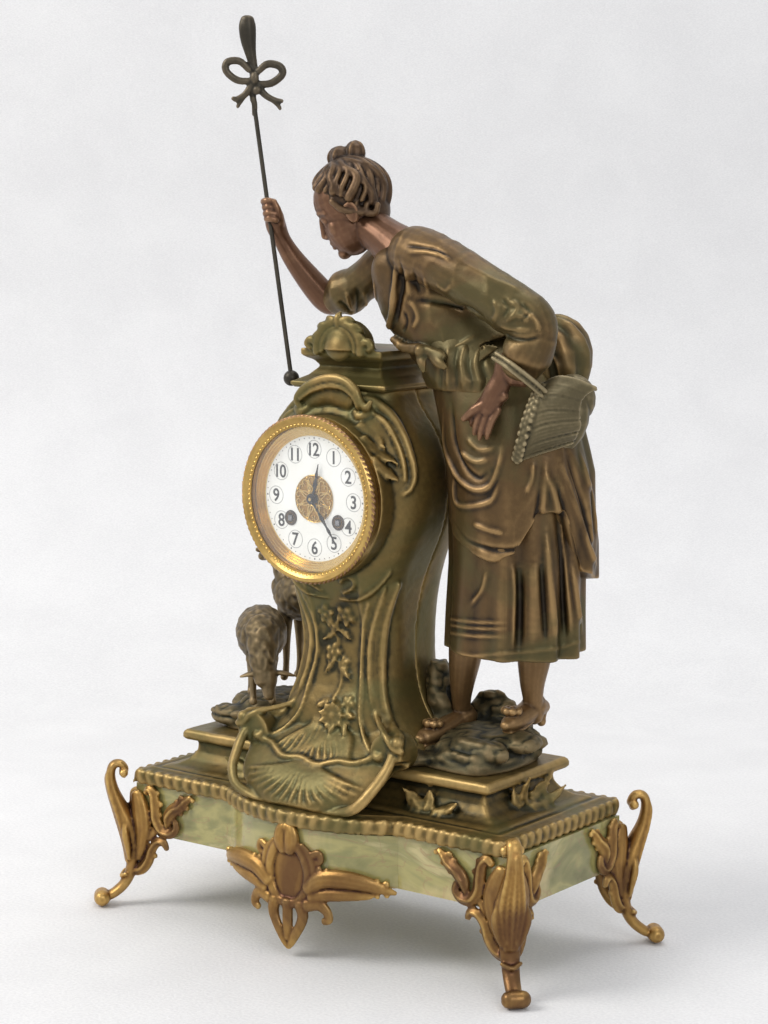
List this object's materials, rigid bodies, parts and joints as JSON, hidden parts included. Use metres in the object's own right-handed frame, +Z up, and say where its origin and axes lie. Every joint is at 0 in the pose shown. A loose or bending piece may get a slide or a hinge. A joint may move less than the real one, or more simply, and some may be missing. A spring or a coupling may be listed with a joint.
{
  "type": "figural mantel clock",
  "caption": "Figural mantel clock: a shepherdess leans over a waisted rococo case, on an onyx plinth with scrolled feet.",
  "frame": {"origin": "on the table, under the middle of the four feet", "axes": "+X to the right of a viewer who faces the dial, +Y into the depth, +Z up"},
  "size_m": [0.393, 0.194, 0.6499],
  "materials": {
    "onyx": "polished green onyx with cream and brown veins",
    "gilt": "worn gilding over brown metal",
    "steel": "plain",
    "patina_green": "cast zinc alloy with an olive brown patina",
    "patina_dress": "cast zinc alloy with a brown patina",
    "patina_skin": "cast zinc alloy with a copper patina",
    "patina_brown": "cast zinc alloy with a dark brown patina",
    "dial_enamel": "white enamel on copper",
    "dial_gilt": "bright gilding",
    "bezel_gilt": "worn reddish gilding",
    "glass": "clear",
    "hands": "blued almost black",
    "brass": "plain polished",
    "bell_metal": "nickelled bell metal"
  },
  "bodies": {
    "case": {"onyx_block_left": "onyx", "onyx_block_centre": "onyx", "onyx_block_right": "onyx", "foot_front_left": "gilt", "foot_front_right": "gilt", "foot_rear_left": "gilt", "foot_rear_right": "gilt", "front_apron_mount": "gilt", "foot_screws": "steel", "tie_bolts": "steel", "strap_screws": "steel", "bezel_hinge_pin": "steel", "terrace_base": "patina_green", "case_front_shell": "patina_green", "case_rear_shell": "patina_green", "case_cornice": "patina_green", "rock_left": "patina_green", "rock_right": "patina_green", "figure_skirt": "patina_dress", "figure_bodice": "patina_dress", "figure_apron": "patina_dress", "figure_head": "patina_skin", "figure_arm_right": "patina_skin", "figure_arm_left": "patina_skin", "figure_legs": "patina_skin", "straw_hat": "patina_brown", "crook_staff": "patina_brown", "crook_head": "patina_brown", "sheep_grazing": "patina_brown", "sheep_standing": "patina_brown", "dial_plate": "dial_enamel", "dial_fittings": "dial_gilt", "sight_ring": "dial_gilt", "bezel_seat": "brass", "front_plate": "brass", "back_plate": "brass", "plate_pillars": "brass", "suspension_cock": "brass", "mounting_straps": "brass", "rear_ring": "brass", "bell": "bell_metal"},
    "bezel": {"bezel_door": "bezel_gilt", "bezel_glass": "glass"},
    "cover": {"rear_cover": "brass"},
    "minute": {"centre_wheel": "brass", "minute_hand": "hands", "hand_collet": "hands"},
    "hour": {"hour_hand": "hands"},
    "motion": {"minute_wheel": "brass"},
    "intermediate": {"intermediate_wheel": "brass"},
    "third": {"third_wheel": "brass"},
    "escape": {"escape_wheel": "brass"},
    "going_drum": {"going_barrel": "brass"},
    "going_key": {"going_arbor": "steel"},
    "strike_drum": {"strike_barrel": "brass"},
    "strike_key": {"strike_arbor": "steel"},
    "strike_pins": {"strike_pin_wheel": "brass"},
    "pallets": {"anchor": "steel"},
    "pendulum": {"pendulum": "brass"},
    "bell_hammer": {"hammer": "brass"}
  },
  "joints": [
    {"name": "minute_turn", "type": "hinge", "parent": "case", "child": "minute", "pos_m": [0, -0.041, 0.3194], "axis": [0, 1, 0], "continuous": true},
    {"name": "hour_turn", "type": "hinge", "parent": "case", "child": "hour", "pos_m": [0, -0.041, 0.3194], "axis": [0, 1, 0], "continuous": true},
    {"name": "minute_wheel_turn", "type": "hinge", "parent": "case", "child": "motion", "pos_m": [0, -0.041, 0.3089], "axis": [0, 1, 0], "continuous": true},
    {"name": "intermediate_turn", "type": "hinge", "parent": "case", "child": "intermediate", "pos_m": [0.0149, -0.041, 0.32512], "axis": [0, 1, 0], "continuous": true},
    {"name": "third_turn", "type": "hinge", "parent": "case", "child": "third", "pos_m": [-0.00596, -0.041, 0.33312], "axis": [0, 1, 0], "continuous": true},
    {"name": "escape_turn", "type": "hinge", "parent": "case", "child": "escape", "pos_m": [0, -0.041, 0.3439], "axis": [0, 1, 0], "continuous": true},
    {"name": "going_barrel_turn", "type": "hinge", "parent": "case", "child": "going_drum", "pos_m": [0.021, -0.041, 0.3044], "axis": [0, 1, 0], "continuous": true},
    {"name": "strike_barrel_turn", "type": "hinge", "parent": "case", "child": "strike_drum", "pos_m": [-0.021, -0.041, 0.3044], "axis": [0, 1, 0], "continuous": true},
    {"name": "strike_pin_turn", "type": "hinge", "parent": "case", "child": "strike_pins", "pos_m": [-0.03013, -0.041, 0.32398], "axis": [0, 1, 0], "continuous": true},
    {"name": "going_winding", "type": "hinge", "parent": "case", "child": "going_key", "pos_m": [0.021, -0.041, 0.3044], "axis": [0, 1, 0], "range_deg": [0, 1800]},
    {"name": "strike_winding", "type": "hinge", "parent": "case", "child": "strike_key", "pos_m": [-0.021, -0.041, 0.3044], "axis": [0, 1, 0], "range_deg": [0, 1800]},
    {"name": "pendulum_swing", "type": "hinge", "parent": "case", "child": "pendulum", "pos_m": [0, -0.041, 0.3565], "axis": [0, 1, 0], "range_deg": [-3, 3]},
    {"name": "anchor_rock", "type": "hinge", "parent": "case", "child": "pallets", "pos_m": [0, -0.041, 0.3565], "axis": [0, 1, 0], "range_deg": [-3, 3]},
    {"name": "hammer_lift", "type": "hinge", "parent": "case", "child": "bell_hammer", "pos_m": [0.0376, -0.041, 0.3274], "axis": [0, 1, 0], "range_deg": [-12, 0]},
    {"name": "bezel_swing", "type": "hinge", "parent": "case", "child": "bezel", "pos_m": [-0.0606, -0.066, 0.3194], "axis": [0, 0, -1], "range_deg": [0, 110]},
    {"name": "cover_swing", "type": "hinge", "parent": "case", "child": "cover", "pos_m": [0, 0.0429, 0.2729], "axis": [-1, 0, 0], "range_deg": [0, 110]}
  ],
  "couplings": [
    {"joint": "hour_turn", "follows": "minute_turn", "ratio": 0.083333},
    {"joint": "minute_wheel_turn", "follows": "minute_turn", "ratio": -0.33333},
    {"joint": "intermediate_turn", "follows": "minute_turn", "ratio": -0.1875},
    {"joint": "going_barrel_turn", "follows": "minute_turn", "ratio": 0.026786},
    {"joint": "third_turn", "follows": "minute_turn", "ratio": -10},
    {"joint": "escape_turn", "follows": "minute_turn", "ratio": 100},
    {"joint": "strike_pin_turn", "follows": "strike_barrel_turn", "ratio": -7},
    {"joint": "anchor_rock", "follows": "pendulum_swing", "ratio": 1}
  ]
}
